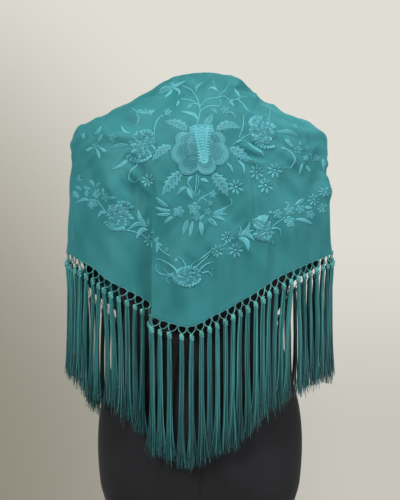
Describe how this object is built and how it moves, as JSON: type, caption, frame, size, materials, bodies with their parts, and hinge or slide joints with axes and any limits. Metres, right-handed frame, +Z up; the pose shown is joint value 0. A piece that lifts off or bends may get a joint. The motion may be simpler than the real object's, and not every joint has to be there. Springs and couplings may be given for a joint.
{
  "type": "flamenco shawl on a dress form",
  "caption": "Triangular flamenco shawl of embroidered crepe with a knotted net border and a long fringe, draped over the shoulders of a limbless dress form on a round stand.",
  "frame": {"origin": "middle of the underside of the stand's round base, on the floor", "axes": "+Z up, -Y towards the shawl's show side over the wearer's back, +X to the wearer's right"},
  "size_m": [0.4401, 0.35, 1.4541],
  "materials": {
    "crepe": "matt crepe with a soft sheen, raised silk flowers in a lighter tone of the same turquoise",
    "fringe": "silky twisted rayon, darker than the cloth",
    "jersey": "matt stretch jersey",
    "cap": "satin",
    "base": "satin black powder coat",
    "pole": "brushed"
  },
  "bodies": {
    "root": {"shawl_cloth": "crepe", "shawl_fringe_left": "fringe", "shawl_fringe_right": "fringe", "form_torso": "jersey", "form_neck_cap": "cap", "stand_base": "base", "stand_pole": "pole", "stand_flange": "pole"}
  },
  "joints": []
}
